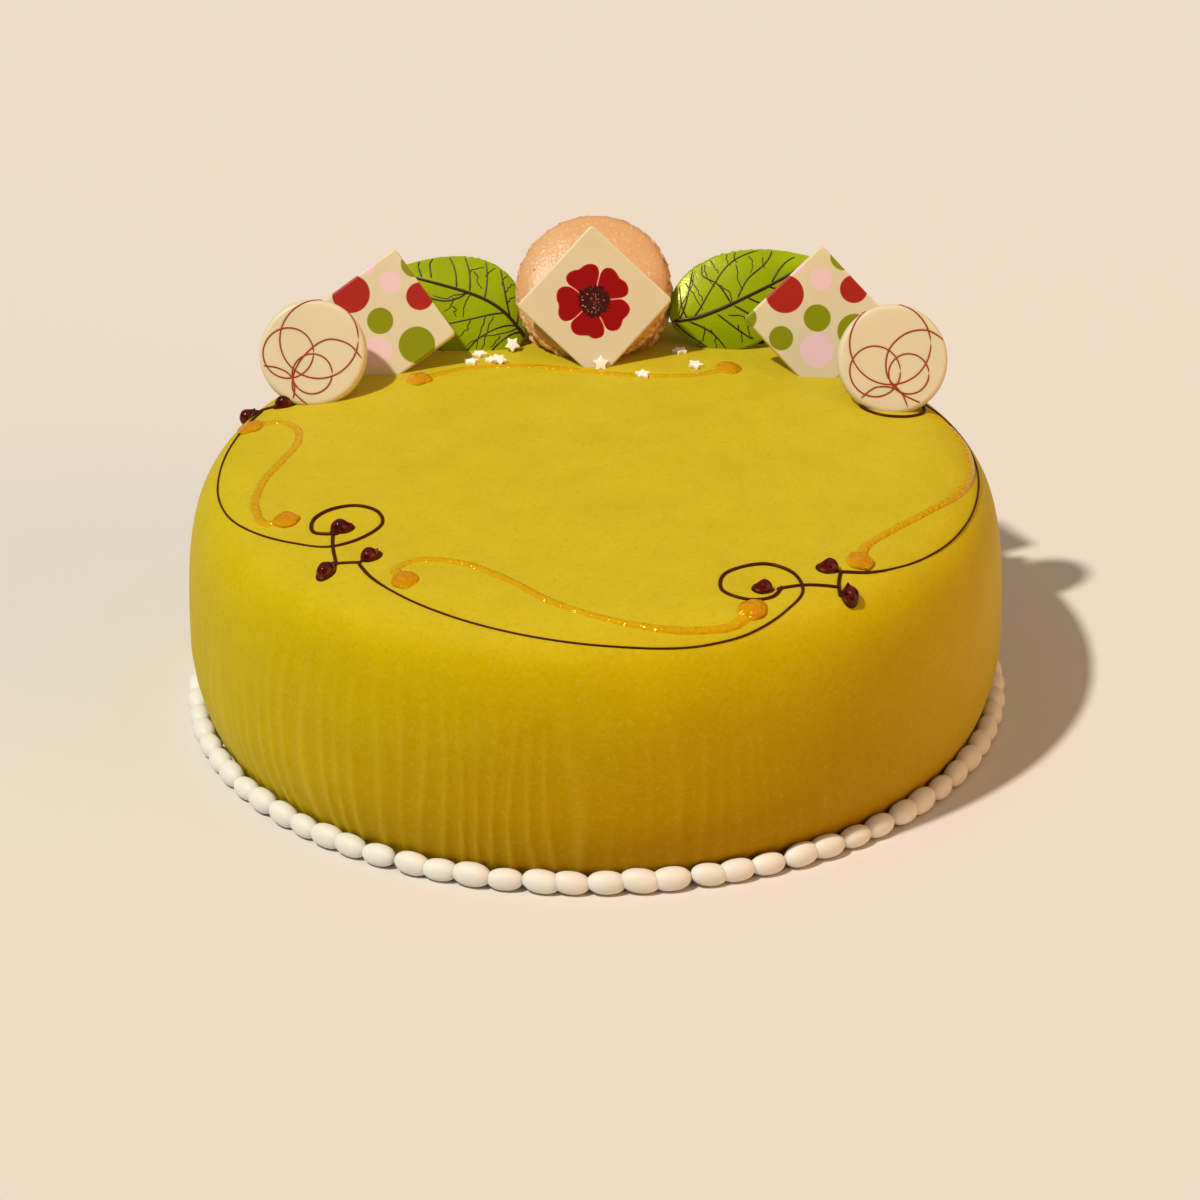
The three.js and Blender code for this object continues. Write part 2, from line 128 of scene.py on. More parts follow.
def finishMaterial(tree, colour, height=None, depth=0.0, strength=1.0):  # the bump's depth is in mm
    shader = tree.nodes["Principled BSDF"]
    tree.links.new(colour.outputs[2], shader.inputs["Base Color"])
    if height is not None:
        bump = addNode(tree, "Bump", {"Height": height, "Distance": depth * mm, "Strength": strength})
        tree.links.new(bump.outputs["Normal"], shader.inputs["Normal"])


def plainMaterial(name, low, high, size, detail=2.0, grain=None, **look):
    # two close tones in clouds this many mm across; grain is its size in mm and its bump's depth and strength
    material, tree, coords = newMaterial(name, **look)
    tone = addNoise(tree, coords, size, detail)
    colour = blend(tree, tone, low, high)
    if grain:
        height = tone if grain[0] == size else addNoise(tree, coords, grain[0])
        finishMaterial(tree, colour, height, *grain[1:])
    else:
        finishMaterial(tree, colour)
    return material


def addObject(name, data):
    holder = bpy.data.objects.new(name, data)
    bpy.context.scene.collection.objects.link(holder)
    return holder


def finishPiece(name, mesh, material, node):
    # mesh is a bmesh in millimetres; the finished object sits at the origin
    bmesh.ops.scale(mesh, vec=(mm, mm, mm), verts=mesh.verts)
    data = bpy.data.meshes.new(name)
    mesh.to_mesh(data)
    mesh.free()
    data.materials.append(material)
    data.polygons.foreach_set("use_smooth", [True] * len(data.polygons))
    piece = addObject(name, data)
    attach(piece, "root")
    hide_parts(node)
    print("made", name, len(data.polygons), "faces")


def closeUp(mesh, distance=1e-4):  # merges doubles, then turns every face outwards
    bmesh.ops.remove_doubles(mesh, verts=mesh.verts, dist=distance)
    bmesh.ops.recalc_face_normals(mesh, faces=mesh.faces)


def turnedMesh(profile, steps):  # a solid of revolution about +Z from [radius, height] pairs
    mesh = bmesh.new()
    points = [mesh.verts.new((radius, 0, height)) for radius, height in profile]
    edges = [mesh.edges.new(pair) for pair in zip(points, points[1:])]
    bmesh.ops.spin(mesh, geom=points + edges, cent=(0, 0, 0), axis=(0, 0, 1), angle=2 * math.pi,
                   steps=steps, use_merge=True)
    closeUp(mesh)
    return mesh


def addMesh(target, source):
    data = bpy.data.meshes.new("part")
    source.to_mesh(data)
    source.free()
    target.from_mesh(data)
    bpy.data.meshes.remove(data)


def moveMesh(mesh, matrix):
    bmesh.ops.transform(mesh, matrix=matrix, verts=mesh.verts)


def turnMesh(mesh, degrees, axis):
    moveMesh(mesh, Matrix.Rotation(math.radians(degrees), 4, axis))


def roundEdges(mesh, edges, offset, segments):
    bmesh.ops.bevel(mesh, geom=edges, offset=offset, offset_type="OFFSET", affect="EDGES", segments=segments,
                    profile=0.5, material=-1)


def walkAlong(points):  # how far along the line each of its points lies
    walked = [0.0]
    for a, b in zip(points, points[1:]):
        walked.append(walked[-1] + (b - a).length)
    return walked


def splinePoints(route, count):  # a smooth curve through the route, sampled evenly along its length
    fine = []
    for i in range(len(route) - 1):
        a, b, c, d = (Vector(route[min(max(i + k, 0), len(route) - 1)]) for k in (-1, 0, 1, 2))
        before, here, after = [(q - p).length or 1e-6 for p, q in ((a, b), (b, c), (c, d))]
        leave = here * ((b - a) / before - (c - a) / (before + here)) + (c - b)
        arrive = (c - b) - here * ((d - b) / (here + after) - (d - c) / after)
        for t in (k / 24 for k in range(24)):
            bend = leave * t * (1 - t) ** 2 - arrive * t * t * (1 - t)
            fine.append(b + (c - b) * t * t * (3 - 2 * t) + bend)
    fine.append(Vector(route[-1]))
    walked = walkAlong(fine)
    spaced, at = [], 0
    for k in range(count + 1):
        want = walked[-1] * k / count
        while at < len(walked) - 2 and walked[at + 1] < want:
            at += 1
        share = (want - walked[at]) / max(walked[at + 1] - walked[at], 1e-9)
        spaced.append(fine[at].lerp(fine[at + 1], min(share, 1)))
    return spaced


def tubeMesh(points, radii, sides):  # a round-ended tube swept by Blender's own curve bevel
    curve = bpy.data.curves.new("sweep", "CURVE")
    curve.dimensions = "3D"
    curve.bevel_depth = 1.0
    curve.bevel_resolution = max(sides // 4 - 1, 0)
    curve.use_fill_caps = True
    curve.twist_mode = "MINIMUM"
    spline = curve.splines.new("POLY")
    spline.points.add(len(points) - 1)
    for point, place, radius in zip(spline.points, points, radii):
        point.co = (*place, 1)
        point.radius = radius
    holder = addObject("sweep", curve)
    data = bpy.data.meshes.new_from_object(holder.evaluated_get(bpy.context.evaluated_depsgraph_get()))
    mesh = bmesh.new()
    mesh.from_mesh(data)
    bpy.data.objects.remove(holder)
    bpy.data.curves.remove(curve)
    bpy.data.meshes.remove(data)
    closeUp(mesh)
    return mesh


def roundEnds(count, radius, taper=3):  # radii that close in to a point at both ends of a tube
    radii = []
    for k in range(count + 1):
        share = min(k, count - k) / taper
        radii.append(radius * (math.sqrt(max(1 - (1 - min(share, 1)) ** 2, 0)) * 0.96 + 0.04))
    return radii


# the cake's own surface, shared by everything that lies on it

cakeForm = {
    "widestRadius": 107.5, "widestHeight": 23, "baseRadius": 101.5, "shoulderHeight": 67.4,
    "sideSquareness": 20, "shoulderSquareness": 2.87, "domeRise": 5,
    "sideRows": 34, "shoulderRows": 66, "topRows": 12, "steps": 780, "swell": 0.35, "topSwell": 0.22,
    "pleatPitch": 5.4, "pleatDepth": 0.8, "pleatMiddle": 230, "pleatSpread": 46, "pleatTop": 56,
    "trimHeight": 4,
}


def topHeight(radius):
    form = cakeForm
    reach = min(radius / form["widestRadius"], 1)
    shoulder = (1 - reach ** form["sideSquareness"]) ** (1 / form["shoulderSquareness"])
    rise = (form["shoulderHeight"] - form["widestHeight"]) * shoulder
    return form["widestHeight"] + rise + form["domeRise"] * (1 - reach ** 2)


def polar(angle, radius):
    turn = math.radians(angle)
    return Vector((radius * math.cos(turn), radius * math.sin(turn)))


def onMarzipan(flat, lift):  # the point over (x, y), lifted along the surface's normal
    radius = max(flat.length, 0.2)
    slope = (topHeight(radius + 0.1) - topHeight(radius - 0.1)) / 0.2
    normal = Vector((-slope * flat.x / radius, -slope * flat.y / radius, 1)).normalized()
    return Vector((flat.x, flat.y, topHeight(radius))) + normal * lift, normal


# marzipan cover

def marzipanMaterial():
    # marzipan: almond paste rolled thin over icing sugar, a matte skin flecked with ground almond, its upward
    # faces lightened partly by a little sugar dust and partly as a painted sheen, with painted shade and
    # painted highlights
    material, tree, coords = newMaterial("Rolled marzipan", 0.52, 0.09, ior=1.45, tint="#e8cf30",
                                         glow=(0.06, 2, (1.0, 0.7, 0.1)))
    base = blend(tree, addNoise(tree, coords, 14, 6.0, 0.68), "#b29e05", "#c9b50c")
    # painted shade: low on the front of the side the paste is darkened, where less light falls
    low = fade(tree, axes(tree, coords)["Z"], 71 * mm, 6 * mm)
    ahead = maths(tree, "DOT_PRODUCT", coords, (0.225, -0.974, 0), kind="VectorMath")
    front = fade(tree, ahead, 25 * mm, 95 * mm)
    deep = blend(tree, maths(tree, "MULTIPLY", low, front), base, "#a57f00")
    # painted highlight: the pleat crests are lightened as if they catch the light
    painted_ridge_highlight = blend(tree, attribute(tree, "ridge_highlight"), deep, "#cfb832")
    # upward faces are lightened a little: partly a real sugar dusting, partly a painted sheen of the light
    # from overhead
    upward = axes(tree, addNode(tree, "NewGeometry", {}).outputs["Normal"])["Z"]
    dust_and_sheen = blend(tree, fade(tree, upward, 0.55, 0.98, 0.022), painted_ridge_highlight, "#fff0d0")
    fleck = addNoise(tree, coords, 1.2, 2.0, 0.7)
    light = blend(tree, fade(tree, fleck, 0.54, 0.74, 0.2), dust_and_sheen, "#d0ba48")
    colour = blend(tree, fade(tree, fleck, 0.42, 0.26, 0.4), light, "#a18b02")
    finishMaterial(tree, colour, addNoise(tree, coords, 0.9, 3.0), 0.14, 0.7)
    return material


def coverProfile():
    form = cakeForm
    base, widest = form["baseRadius"], form["widestRadius"]
    profile = [(0, 0), (base * 0.5, 0), (base - 1.2, 0)]
    for k in range(form["sideRows"]):
        rise = (k + 0.4) / form["sideRows"]
        profile.append((base + (widest - base) * (1 - (1 - rise) ** 2), form["widestHeight"] * rise))
    radii = []
    for k in range(form["shoulderRows"]):
        angle = 0.5 * math.pi * ((k + 0.5) / form["shoulderRows"])
        radii.append(widest * math.cos(angle) ** (2 / form["sideSquareness"]))
    radii += [radii[-1] * (1 - k / form["topRows"]) for k in range(1, form["topRows"] + 1)]
    return profile + [(radius, topHeight(radius)) for radius in radii]


def marzipanCover():
    form = cakeForm
    mesh = turnedMesh(coverProfile(), form["steps"])
    ridge_highlight = mesh.verts.layers.float.new("ridge_highlight")
    for vert in mesh.verts:
        if vert.co.z < 0.01:
            continue
        radius = math.hypot(vert.co.x, vert.co.y)
        around = math.degrees(math.atan2(vert.co.y, vert.co.x)) % 360
        onSide = max(min((radius - 80) / 20, 1), 0)
        foot = min(vert.co.z / form["trimHeight"], 1)  # the skin is held flat where it is trimmed
        # pleats run up from the foot, strongest round the middle of their patch, gathered here and there
        beat = noise.noise(Vector((around / 9, 3.1, vert.co.z / 60)))
        phase = math.radians(around) * form["widestRadius"] / form["pleatPitch"] * math.pi + 4 * beat
        pleat = 0.55 - abs(math.sin(phase)) ** 1.1
        spread = abs((around - form["pleatMiddle"] + 180) % 360 - 180) / form["pleatSpread"]
        patch = 0.08 + 0.92 * math.exp(-spread ** 2)
        gathers = max(noise.noise(Vector((around / 12, 7.7, vert.co.z / 40))) + 0.65, 0.2)
        low = max(1 - vert.co.z / form["pleatTop"], 0) ** 0.7
        strength = low * patch * min(gathers, 1) * onSide
        # this layer holds the strength of each pleat crest, which the marzipan's colour uses for a painted
        # highlight on it
        vert[ridge_highlight] = max(pleat, 0) * strength
        out = form["pleatDepth"] * pleat * strength * foot
        out += form["swell"] * noise.noise(vert.co / 34) * onSide * foot
        vert.co.xy += vert.co.xy.normalized() * out
        vert.co.z += form["topSwell"] * noise.noise(vert.co / 24 + Vector((5, 0, 0))) * (1 - onSide)
    finishPiece("marzipan_cover", mesh, marzipanMaterial(), "cake")


marzipanCover()


# pearl border

pearlBorder = {"count": 79, "ring": 106.3, "across": 5.7, "tall": 5.8, "uneven": 0.06, "drift": 0.1,
               "overlap": 1.15, "squareness": 0.92}


def icingMaterial():
    # royal icing: sugar beaten with egg white, piped in beads that dry to a soft satin
    return plainMaterial("Piped royal icing", "#d8d7d1", "#e5e5df", 9, grain=(0.9, 0.05, 0.5), roughness=0.5,
                         gloss=0.35, ior=1.45, glow=(0.2, 1.5, (1.0, 0.85, 0.65)))


def pearls():
    look = pearlBorder
    mesh = bmesh.new()
    pitch = 2 * math.pi / look["count"]
    for k in range(look["count"]):
        grown = 1 + look["uneven"] * pick.uniform(-1, 1)
        angle = (k + 0.5 + look["drift"] * pick.uniform(-1, 1)) * pitch
        bead = bmesh.new()
        bmesh.ops.create_icosphere(bead, subdivisions=4, radius=0.5)
        for vert in bead.verts:  # pillow-shaped, a little fuller at the foot
            vert.co = Vector([math.copysign(0.5 * abs(2 * c) ** look["squareness"], c) for c in vert.co])
            vert.co.x *= 1 - 0.12 * vert.co.z
        size = Vector((look["across"], look["ring"] * pitch * look["overlap"], look["tall"])) * grown
        pitched = Matrix.Rotation(pick.uniform(-0.16, 0.06), 4, "X")
        turned = Matrix.Rotation(pick.uniform(-0.1, 0.1), 4, "Z")
        onRing = Matrix.Rotation(angle, 4, "Z") @ Matrix.Translation((look["ring"], 0, 0))
        moveMesh(bead, onRing @ pitched @ turned @ Matrix.Diagonal((*size, 1)))
        moveMesh(bead, Matrix.Translation((0, 0, -min(vert.co.z for vert in bead.verts))))
        addMesh(mesh, bead)
    finishPiece("icing_pearls", mesh, icingMaterial(), "pearl_border")


pearls()


# piped chocolate scrolls with their jelly drops

scrollLook = {"thick": 0.5, "thin": 0.29, "knotThick": 0.48, "raise": 0.12, "steps": 240, "knotSteps": 24,
              "sides": 12, "swells": 6}

# each scroll leaves start, swells out to crest, then curls inwards round loop, as seen from above; its
# knot's strokes and drops lie along the rim and inwards from the loop's middle, and a drop is (along,
# inwards, the way it points from the rim in degrees, length)
scrolls = [
    {"start": (157.7, 96), "crest": (188, 98.4), "swell": 1.2, "loop": (211.4, 73.8),
     "reach": (16.3, 9.9, 8.9, 8.3, 9.3, 4), "knot": 3,
     "drops": [(2.9, -3, 80, 7), (18.9, -16, 115, 7.8), (20.1, -4.3, 98, 7)]},
    {"start": (225.7, 84.6), "crest": (286, 100.2), "swell": 1.5, "loop": (299, 83.5),
     "reach": (12.8, 9.8, 7.7, 10.2, 7.3, 5),
     "drops": [(-0.9, -3.6, 148, 5.8), (18.9, -12.3, 73, 7.8), (19, -2, 140, 6.4)]},
    {"start": (312.2, 90), "crest": (365, 100.4), "swell": 3.8, "loop": (381.5, 86.5),
     "reach": (10, 9, 9.5, 8.5, 8, 5),
     "drops": [(1, -3, 100, 6.6), (18.9, -12.3, 90, 7.4), (19, -2, 120, 6.6)]},
    {"start": (36, 88), "crest": (48, 97), "swell": 1.4, "loop": (58.5, 93.5),
     "reach": (6, 5.5, 5, 5, 5, 3), "knot": -4,
     "drops": [(0.8, 5.4, 150, 6), (18.9, -8.3, 90, 7.4), (19, 2, 120, 6.6)]},
    {"start": (84, 88), "crest": (112, 98), "swell": 1.4, "loop": (133, 88),
     "reach": (10, 9.5, 9, 8.5, 8, 5),
     "strokes": [[(2, -5), (16, -6), (33, 6.3)], [(33, 6.3), (37.2, 3), (40.5, -1.5)]],
     "drops": [(1, -3, 100, 6.6), (34.8, 4.8, 145, 8.5), (41.6, -3, 120, 6.6)]},
]
knotStrokes = [[(2, -5), (9, -6), (18, -9.8)], [(21.3, -4.3), (17.8, -9), (16.2, -12.4)]]

# jelly drops: a chocolate cup with a jelly bead on it that ends in a pulled-up tip
dropLook = {"width": 4.7, "height": 1.3, "jellyLength": 0.84, "jellyWidth": 4.3, "jellyHeight": 2.5}


def loopFrame(scroll):
    middle = polar(*scroll["loop"])
    inward = -middle.normalized()
    along = Vector((inward.y, -inward.x))
    return lambda x, y: middle + along * x + inward * y


def scrollRoute(scroll):
    (startAngle, startRadius), (crestAngle, crestRadius) = scroll["start"], scroll["crest"]
    route = []
    swells = scrollLook["swells"]
    for k in range(swells + 1):
        share = (k / swells) ** 1.5  # closer together where the line bends away from the knot
        rise = 1 - (1 - share ** 0.8) ** scroll["swell"]
        route.append(polar(startAngle + (crestAngle - startAngle) * share,
                           startRadius + (crestRadius - startRadius) * rise))
    loopAngle, loopRadius = scroll["loop"]
    fall = crestRadius - loopRadius - scroll["reach"][0]
    route.append(polar((crestAngle + loopAngle) / 2, crestRadius - 0.22 * fall))
    at = loopFrame(scroll)
    for k in range(2 * (len(scroll["reach"]) - 1)):
        quarter = k / 2
        reach = (scroll["reach"][math.floor(quarter)] + scroll["reach"][math.ceil(quarter)]) / 2
        turn = (quarter - 1) * 0.5 * math.pi
        route.append(at(reach * math.cos(turn), reach * math.sin(turn)))
    return route


def pipedLine(route, count, radii, lift):
    places = [onMarzipan(flat, lift)[0] for flat in splinePoints(route, count)]
    return tubeMesh(places, radii, scrollLook["sides"])


def chocolateMaterial():
    # dark chocolate: melted, piped fine and set, a warm near-black with a soft gloss
    return plainMaterial("Piped dark chocolate", "#361403", "#4c2006", 2.5, grain=(2.5, 0.08, 0.5),
                         roughness=0.38, gloss=0.2, tint="#ffb878")


def jellyMaterial():
    # red berry jelly: set clear in a glossy drop, deep red where thick and brighter where light comes through
    material, tree, coords = newMaterial("Red berry jelly", 0.07, 0.4, ior=1.42,
                                         glow=(0.25, 1.2, (1.0, 0.12, 0.04)))
    tone = addNoise(tree, coords, 1.8)
    finishMaterial(tree, blend(tree, fade(tree, tone, 0.35, 0.65), "#2c0402", "#620d03"), tone, 0.1, 0.35)
    return material


def teardrop(length, width, height, tip):  # lies along +X with its tip there, flat side down
    mesh = bmesh.new()
    bmesh.ops.create_icosphere(mesh, subdivisions=4, radius=1)
    for vert in mesh.verts:
        along = vert.co.x
        slim = 1 - 0.62 * max(along + 0.1, 0) ** 1.5
        vert.co = Vector((along * length / 2, vert.co.y * slim * width / 2,
                          vert.co.z * height * (slim if vert.co.z > 0 else 0.5)))
        vert.co.z += tip * max(along, 0) ** 6
    return mesh


def seatOnCake(mesh, flat, heading, lift):
    place, normal = onMarzipan(flat, lift)
    seat = normal.to_track_quat("Z", "Y").to_matrix().to_4x4()
    ahead = seat.inverted() @ Vector((math.cos(heading), math.sin(heading), 0))
    turn = Matrix.Rotation(math.atan2(ahead.y, ahead.x), 4, "Z")
    moveMesh(mesh, Matrix.Translation(place) @ seat @ turn)


def smoothStep(value, low, high):
    share = max(min((value - low) / (high - low), 1), 0)
    return share * share * (3 - 2 * share)


def chocolateWork():
    look = scrollLook
    piped = bmesh.new()
    jelly = bmesh.new()
    for scroll in scrolls:
        count = look["steps"]
        route = scrollRoute(scroll)
        walked = walkAlong(route)
        entry = walked[look["swells"] + 3] / walked[-1]  # the share of its length at which its curl begins
        radii = []
        for k, full in enumerate(roundEnds(count, 1.0, 1)):
            share = k / count
            fast = smoothStep(share, 0.015, 0.1) * (1 - smoothStep(share, entry - 0.06, entry + 0.05))
            wander = 1 + 0.07 * noise.noise(Vector((share * 30, scroll["loop"][0], 0)))
            radii.append(full * (look["thick"] + (look["thin"] - look["thick"]) * fast) * wander)
        addMesh(piped, pipedLine(route, count, radii, look["raise"]))
        local = loopFrame(scroll)
        out = scroll.get("knot", 0)  # some knots lie further out or in
        plain = [[(x, y - (out if k + first else 0)) for k, (x, y) in enumerate(stroke)]
                 for first, stroke in enumerate(knotStrokes)]
        for stroke in scroll.get("strokes", plain):
            ends = roundEnds(look["knotSteps"], look["knotThick"], 1)
            spots = [local(*spot) for spot in stroke]
            addMesh(piped, pipedLine(spots, look["knotSteps"], ends, look["raise"]))
        rim = scroll["loop"][0] + 90
        for k, (x, y, aim, length) in enumerate(scroll["drops"]):
            spot = local(x, y)
            heading = math.radians(rim + aim)
            grown = pick.uniform(0.95, 1.06)
            # the middle drop tapers the way it points, the other two towards the stroke they end
            taper = heading if k == 1 else heading + math.pi
            cup = teardrop(length, dropLook["width"] * grown, dropLook["height"], 0)
            seatOnCake(cup, spot, taper, 0)
            addMesh(piped, cup)
            bead = teardrop(length * dropLook["jellyLength"], dropLook["jellyWidth"] * grown,
                            dropLook["jellyHeight"] * grown, 0.8)
            seatOnCake(bead, spot, heading + pick.uniform(-0.15, 0.25), 0.5)
            addMesh(jelly, bead)
    finishPiece("chocolate_scrolls", piped, chocolateMaterial(), "cake")
    finishPiece("jelly_drops", jelly, jellyMaterial(), "cake")


chocolateWork()


# amber gel strokes

gelLook = {"radius": 1.8, "sunk": 0.72, "blob": 3.9, "blobHeight": 1.5, "flare": 0.45, "ripple": 0.1,
           "steps": 150}
gelStrokes = [
    {"route": [(165, 94.5), (163.5, 87.5), (165.5, 82), (172, 78.7), (180, 81.4), (189, 87.4), (198, 91.2),
               (203, 90.8), (204, 86)], "blobs": (0, 1)},
    {"route": [(236, 84.5), (232.5, 81.5), (233, 76.5), (242.5, 71), (251, 73.7), (264, 84.6), (274, 92),
               (284, 96.5), (291, 96.6), (294.5, 93.5)], "blobs": (0, 1)},
    {"route": [(317.5, 90), (321, 87), (328, 87), (337.5, 90.3), (348, 95.8), (360, 99), (369, 99.2),
               (375, 97), (378, 93.5)], "blobs": (0,)},
    {"route": [(134.5, 67.2), (124, 65.2), (112, 59.8), (98, 53), (87, 49.2), (73, 49), (60, 55), (55, 64)],
     "blobs": (0, 1)},
]


def gelMaterial():
    # apricot piping gel: clear glucose gel with a rippled skin that catches small bright sparks
    material, tree, coords = newMaterial("Apricot piping gel", 0.1, 0.5, ior=1.4, tint="#ffc850",
                                         glow=(0.2, 1.5, (1.0, 0.45, 0.02)))
    tone = addNoise(tree, coords, 5)
    thin = blend(tree, tone, "#c19203", "#c9a106")
    deep = blend(tree, tone, "#b67602", "#c99004")
    bubbles = addNode(tree, "TexVoronoi", {"Vector": coords, "Scale": 1 / (1.1 * mm)})
    finishMaterial(tree, blend(tree, attribute(tree, "depth"), thin, deep), bubbles, 0.5, 0.6)
    return material


def gelWork():
    look = gelLook
    gel = bmesh.new()
    gel.verts.layers.float.new("depth")
    for stroke in gelStrokes:
        flats = [polar(*station) for station in stroke["route"]]
        count = look["steps"]
        radii = []
        for k, full in enumerate(roundEnds(count, look["radius"], 6)):
            fromBlob = min([k if end == 0 else count - k for end in stroke["blobs"]])
            flare = 1 + look["flare"] * max(1 - fromBlob / 16, 0)
            radii.append(full * flare * (1 + look["ripple"] * noise.noise(Vector((k * 0.35, flats[0].x, 0)))))
        places = [onMarzipan(flat, -look["sunk"] * radius)[0]
                  for flat, radius in zip(splinePoints(flats, count), radii)]
        addMesh(gel, tubeMesh(places, radii, 16))
        for end in stroke["blobs"]:
            blob = bmesh.new()
            layer = blob.verts.layers.float.new("depth")
            bmesh.ops.create_icosphere(blob, subdivisions=5, radius=1)
            for vert in blob.verts:
                lump = 1 + 0.16 * noise.noise(vert.co * 1.3 + flats[-end].to_3d())
                vert[layer] = min(1.6 * max(vert.co.z, 0), 1)
                vert.co = Vector((vert.co.x * look["blob"] * lump, vert.co.y * look["blob"] * 0.88 * lump,
                                  vert.co.z * (look["blobHeight"] if vert.co.z > 0 else 0.8) * lump))
            seatOnCake(blob, flats[-end], pick.uniform(0, math.pi), 0)
            addMesh(gel, blob)
    finishPiece("gel_strokes", gel, gelMaterial(), "cake")


gelWork()


# sugar stars

starLook = {"points": 5, "outer": 2.3, "inner": 1.3, "thickness": 1.1, "edge": 0.22}
# stars lying on the marzipan: x, y, turn and tilt, then the two that stand
lyingStars = [(-31, 64.2, 40, 0), (-33.2, 58.8, 65, 0), (-27.3, 59.6, 20, 0), (-25.6, 57.9, 50, 22),
              (13.4, 46.6, 0, 6), (23.7, 64.6, 30, 0), (27.8, 53.6, 50, 8)]
leaningStars = [{"at": (2.1, 53.5), "lean": 25, "rise": 1, "turn": 0},
                {"at": (-22, 67.2), "lean": 32, "rise": 1.65, "turn": 36}]


def sugarMaterial():
    # pressed sugar: fine white grains stuck in a star, matte and a little rough
    return plainMaterial("Pressed sugar", "#f6ecd8", "#fffcf4", 0.5, grain=(0.5, 0.2, 0.7), roughness=0.6,
                         gloss=0.4, ior=1.5, glow=(0.15, 0.8, (1.0, 0.9, 0.8)))


def starMesh():
    look = starLook
    mesh = bmesh.new()
    ring = []
    for k in range(2 * look["points"]):
        radius = look["outer"] if k % 2 == 0 else look["inner"]
        ring.append(mesh.verts.new((*polar(90 + 180 * k / look["points"], radius), 0)))
    face = mesh.faces.new(ring)
    raised = bmesh.ops.extrude_face_region(mesh, geom=[face])["geom"]
    bmesh.ops.translate(mesh, vec=(0, 0, look["thickness"]),
                        verts=[part for part in raised if isinstance(part, bmesh.types.BMVert)])
    roundEdges(mesh, mesh.edges[:], look["edge"], 3)
    bmesh.ops.recalc_face_normals(mesh, faces=mesh.faces)
    return mesh


def sugarStars():
    stars = bmesh.new()
    for x, y, turn, tilt in lyingStars:
        star = starMesh()
        turnMesh(star, tilt, "X")
        seatOnCake(star, Vector((x, y)), math.radians(turn), -0.15 + tilt / 30)
        addMesh(stars, star)
    for plan in leaningStars:
        star = starMesh()
        turnMesh(star, plan["turn"], "Z")
        turnMesh(star, 90 - plan["lean"], "X")
        moveMesh(star, Matrix.Translation(onMarzipan(Vector(plan["at"]), plan["rise"])[0]))
        addMesh(stars, star)
    finishPiece("sugar_stars", stars, sugarMaterial(), "cake")


sugarStars()


# toppings, each modelled with its front face towards -Y and its middle at the origin

def placement(place):
    angles = [math.radians(place[key]) for key in ("turn", "lean", "spin")]
    turn = Matrix.Rotation(angles[0], 4, "Z") @ Matrix.Rotation(-angles[1], 4, "X")
    return Matrix.Translation(place["at"]) @ turn @ Matrix.Rotation(angles[2], 4, "Y")


def localCoordinates(tree, coords, place):  # a topping's own plane, in millimetres
    matrix = placement(place)
    return addNode(tree, "Mapping", {
        "Vector": coords, "Location": matrix.to_translation() * mm, "Rotation": matrix.to_euler("XYZ"),
        "Scale": (mm, mm, mm)}, vector_type="TEXTURE")


def trimFoot(mesh, place, depth):  # cuts off what would lie deep inside the cake
    at = Vector(place["at"][:2])
    front = placement(place).to_3x3() @ Vector((0, -1, 0))
    foot, normal = onMarzipan(at + front.xy * 8, -depth)
    cut = bmesh.ops.bisect_plane(mesh, geom=mesh.verts[:] + mesh.edges[:] + mesh.faces[:], dist=1e-4,
                                 plane_co=foot, plane_no=normal, clear_inner=True)
    rim = [part for part in cut["geom_cut"] if isinstance(part, bmesh.types.BMEdge)]
    for edge in rim:
        edge.smooth = False
    if rim:
        bmesh.ops.holes_fill(mesh, edges=rim, sides=0)


# white chocolate slabs with their printed patterns

slabLook = {"thickness": 3, "corner": 1.3, "edge": 0.6}
flowerPlaque = {"side": 30.1, "at": (0.6, 60.6, 87.1), "lean": 25, "turn": 0, "spin": -1.6}
dottedPlaques = {
    "dotted_plaque_left": {"side": 28.9, "at": (-57.2, 59.8, 82.3), "lean": 28, "turn": -6, "spin": 7},
    "dotted_plaque_right": {"side": 29.2, "at": (61.6, 55.7, 83.2), "lean": 28, "turn": 6, "spin": 5},
}
discPlaces = {
    "disc_left": {"radius": 14.5, "at": (-75.3, 41.6, 81.6), "lean": 30, "turn": -4, "spin": 0},
    "disc_right": {"radius": 14.8, "at": (80.1, 33.6, 81.5), "lean": 30, "turn": 4, "spin": 0},
}

# printed dots: x, z and radius from the plaque's middle, and the cocoa butter's colour
red, pink, green = "#a2241a", "#e2c4d0", "#848c00"
dots = {
    "dotted_plaque_left": [(-9.7, 6.3, 5.2, red), (0.4, 11.1, 3, pink), (9.1, 8.6, 3.8, red),
                           (-0.6, 0.3, 3.6, green), (10.4, -4.6, 5, green), (-0.1, -8.2, 4.2, pink),
                           (6.3, 17.3, 3.9, green), (-6.3, 14.2, 1.9, pink)],
    "dotted_plaque_right": [(-9.8, 6.9, 5.2, red), (0, 11.3, 3, pink), (9, 8.9, 3.8, red),
                            (-0.8, 0.7, 3.7, green), (-10.5, -5.1, 3.3, green), (-0.6, -8, 4.7, pink),
                            (-20.6, 0, 3.3, green), (6, 17.6, 3.7, green), (9.6, -2.6, 4.8, green),
                            (-6.2, 14.6, 1.9, pink)],
}


def slabMaterial(name, place=None, printOn=None, plan=None):
    # white chocolate: cocoa butter and milk, moulded to a smooth cream satin that light sinks into
    material, tree, coords = newMaterial(name, 0.36, 0.28, glow=(0.3, 2.5, (1.0, 0.75, 0.4)))
    colour = blend(tree, addNoise(tree, coords, 11), "#d0c7a8", "#d7ceb2")
    if printOn:  # the print lies on (x, z) of the slab, and on its front face only
        parts = axes(tree, localCoordinates(tree, coords, place))
        flat = addNode(tree, "CombineXYZ", {"X": parts["X"], "Y": parts["Z"]})
        colour = printOn(tree, flat, fade(tree, parts["Y"], 1.3, 0.9), colour, plan)
    finishMaterial(tree, colour, addNoise(tree, coords, 3.2), 0.08, 0.35)
    return material


